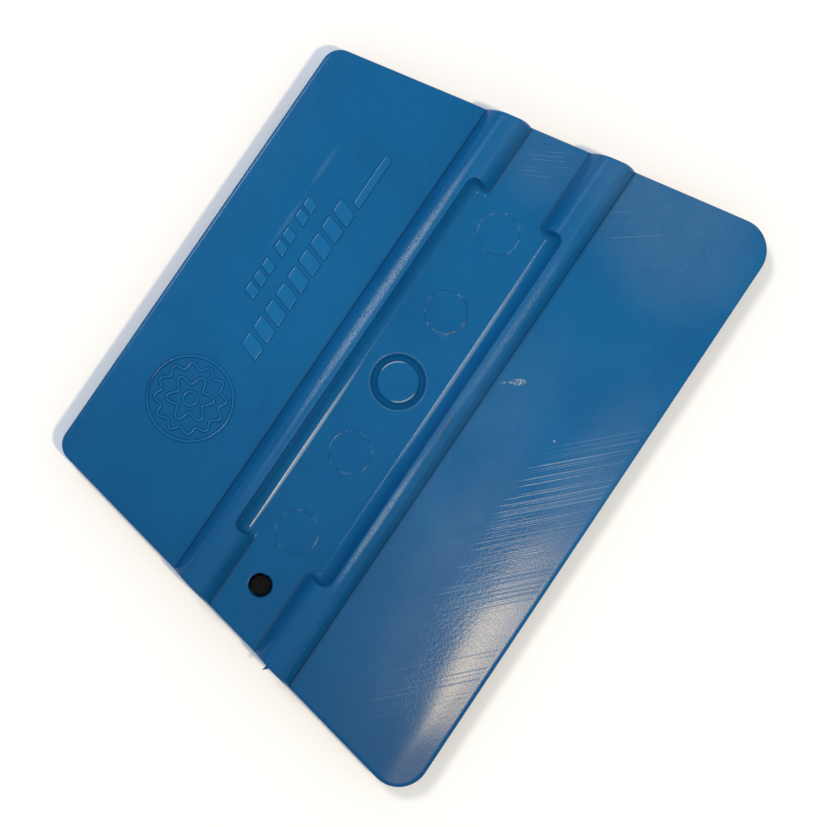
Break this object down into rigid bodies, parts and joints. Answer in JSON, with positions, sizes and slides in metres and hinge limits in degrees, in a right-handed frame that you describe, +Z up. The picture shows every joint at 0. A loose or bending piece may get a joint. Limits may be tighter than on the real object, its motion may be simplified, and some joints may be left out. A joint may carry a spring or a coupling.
{
  "type": "squeegee",
  "caption": "Trapezoidal hand squeegee for adhesive film, with a straight blade each side of a ribbed handle that has finger recesses, and a small disc magnet let into the handle web",
  "frame": {"origin": "centre of the bottom of the bounding box: under the middle of the plate, in the plane of the lower rib crests", "axes": "+X along the ribs, away from the end with the magnet; +Y from the long blade edge towards the short one; +Z up, out of the face with the magnet's bore"},
  "size_m": [0.0978, 0.07, 0.009],
  "materials": {
    "blue_plastic": "satin moulded plastic with a fine grain, scratched along the longer blade and rubbed on the rib crests",
    "black_coating": "thin satin black coating"
  },
  "bodies": {
    "root": {"squeegee_body": "blue_plastic", "disc_magnet": "black_coating"}
  },
  "joints": []
}
